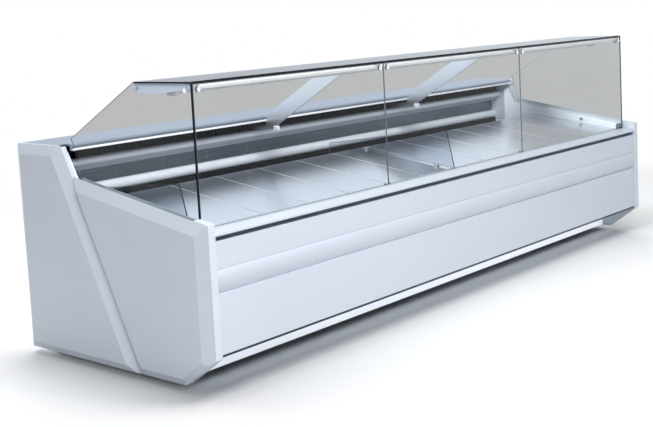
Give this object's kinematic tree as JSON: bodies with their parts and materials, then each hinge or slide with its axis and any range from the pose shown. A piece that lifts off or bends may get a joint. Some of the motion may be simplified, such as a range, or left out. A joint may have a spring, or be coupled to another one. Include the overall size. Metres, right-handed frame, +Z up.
{
  "type": "refrigerated serve-over counter",
  "caption": "Long refrigerated deli case with lift-up front panes, glass shelf, sloping display deck, worktop, storage doors and a condensing unit.",
  "frame": {"origin": "on the floor under the centre of the overall box", "axes": "+X along the counter's length to the customer's right, +Y from the customer's side to the operator's side, +Z up"},
  "size_m": [3.862, 1.264, 1.29],
  "materials": {
    "panel_white": "satin moulded foam-cored panel",
    "end_moulding": "satin moulded plastic",
    "liner_white": "smooth white liner",
    "steel_sheet": "brushed stainless sheet",
    "frame_steel": "grey coated steel",
    "black_trim": "matt black",
    "glass_clear": "clear toughened glass",
    "acrylic": "clear acrylic",
    "canopy_alu": "satin anodised",
    "lip_white": "white coated",
    "lamp_diffuser": "opal diffuser",
    "hardware_steel": "satin stainless hardware",
    "coil_alu": "plain fin stock and tube",
    "fan_plastic": "glass-filled black plastic",
    "unit_black": "black enamel",
    "switch_white": "gloss white"
  },
  "bodies": {
    "cabinet": {"base_rails": "frame_steel", "base_crossmembers": "frame_steel", "levelling_feet": "black_trim", "base_floor": "frame_steel", "kick_plate": "panel_white", "left_end_panel": "end_moulding", "right_end_panel": "end_moulding", "end_liners": "liner_white", "front_sill": "panel_white", "shadow_strips": "black_trim", "front_upper_panel": "panel_white", "bumper_rail": "panel_white", "front_lower_panel": "panel_white", "tub": "liner_white", "deck_plates": "steel_sheet", "deck_dividers": "acrylic", "drain_pipe": "black_trim", "evaporator": "coil_alu", "evaporator_fan_motors": "unit_black", "duct_back_plate": "steel_sheet", "upper_duct_rail": "canopy_alu", "lower_duct_rail": "canopy_alu", "duct_rail_end_caps": "end_moulding", "worktop": "steel_sheet", "rear_upper_panel": "steel_sheet", "rear_posts": "steel_sheet", "rear_rails": "steel_sheet", "storage_front_wall": "liner_white", "unit_bulkhead": "liner_white", "door_hinge_pins": "hardware_steel", "compressor": "unit_black", "condenser": "coil_alu", "condenser_fan_motor": "unit_black", "rear_grille": "panel_white", "power_gland": "black_trim", "control_box": "black_trim", "canopy_profile": "canopy_alu", "canopy_lip": "lip_white", "canopy_end_caps": "lip_white", "canopy_lamp": "lamp_diffuser", "canopy_supports": "steel_sheet", "shelf_glass": "glass_clear", "side_glasses": "glass_clear", "side_glass_channels": "hardware_steel", "pane_hinge_pins": "hardware_steel"},
    "front_pane_left": {"front_glass_left": "glass_clear", "pane_clamps_left": "hardware_steel"},
    "front_pane_middle": {"front_glass_middle": "glass_clear", "pane_clamps_middle": "hardware_steel"},
    "front_pane_right": {"front_glass_right": "glass_clear", "pane_clamps_right": "hardware_steel"},
    "door_1": {"storage_door_1": "panel_white"},
    "door_2": {"storage_door_2": "panel_white"},
    "door_3": {"storage_door_3": "panel_white"},
    "door_4": {"storage_door_4": "panel_white"},
    "evaporator_rotor_left": {"evaporator_fan_left": "fan_plastic"},
    "evaporator_rotor_right": {"evaporator_fan_right": "fan_plastic"},
    "condenser_rotor": {"condenser_fan": "fan_plastic"},
    "rocker": {"light_switch": "switch_white"},
    "button": {"defrost_button": "switch_white"}
  },
  "joints": [
    {"name": "left_pane_hinge", "type": "hinge", "parent": "cabinet", "child": "front_pane_left", "pos_m": [0, -0.536, 1.276], "axis": [-1, 0, 0], "range_deg": [0, 80]},
    {"name": "middle_pane_hinge", "type": "hinge", "parent": "cabinet", "child": "front_pane_middle", "pos_m": [0, -0.536, 1.276], "axis": [-1, 0, 0], "range_deg": [0, 80]},
    {"name": "right_pane_hinge", "type": "hinge", "parent": "cabinet", "child": "front_pane_right", "pos_m": [0, -0.536, 1.276], "axis": [-1, 0, 0], "range_deg": [0, 80]},
    {"name": "door_1_hinge", "type": "hinge", "parent": "cabinet", "child": "door_1", "pos_m": [-1.857, 0.587, 0.314], "axis": [0, 0, 1], "range_deg": [0, 90]},
    {"name": "door_2_hinge", "type": "hinge", "parent": "cabinet", "child": "door_2", "pos_m": [-1.232, 0.587, 0.314], "axis": [0, 0, 1], "range_deg": [0, 90]},
    {"name": "door_3_hinge", "type": "hinge", "parent": "cabinet", "child": "door_3", "pos_m": [-0.607, 0.587, 0.314], "axis": [0, 0, 1], "range_deg": [0, 90]},
    {"name": "door_4_hinge", "type": "hinge", "parent": "cabinet", "child": "door_4", "pos_m": [0.018, 0.587, 0.314], "axis": [0, 0, 1], "range_deg": [0, 90]},
    {"name": "evaporator_fan_left_spin", "type": "hinge", "parent": "cabinet", "child": "evaporator_rotor_left", "pos_m": [-0.625, 0.113, 0.594], "axis": [0, 1, 0], "continuous": true},
    {"name": "evaporator_fan_right_spin", "type": "hinge", "parent": "cabinet", "child": "evaporator_rotor_right", "pos_m": [0.625, 0.113, 0.594], "axis": [0, 1, 0], "continuous": true},
    {"name": "condenser_fan_spin", "type": "hinge", "parent": "cabinet", "child": "condenser_rotor", "pos_m": [0.955, 0.425, 0.263], "axis": [0, 1, 0], "continuous": true},
    {"name": "light_switch_rock", "type": "hinge", "parent": "cabinet", "child": "rocker", "pos_m": [1.05, 0.61, 0.773], "axis": [1, 0, 0], "range_deg": [0, 16]},
    {"name": "defrost_button_press", "type": "slide", "parent": "cabinet", "child": "button", "axis": [0, -1, 0], "range_m": [0, 0.003], "stiffness_N_per_m": 300}
  ]
}
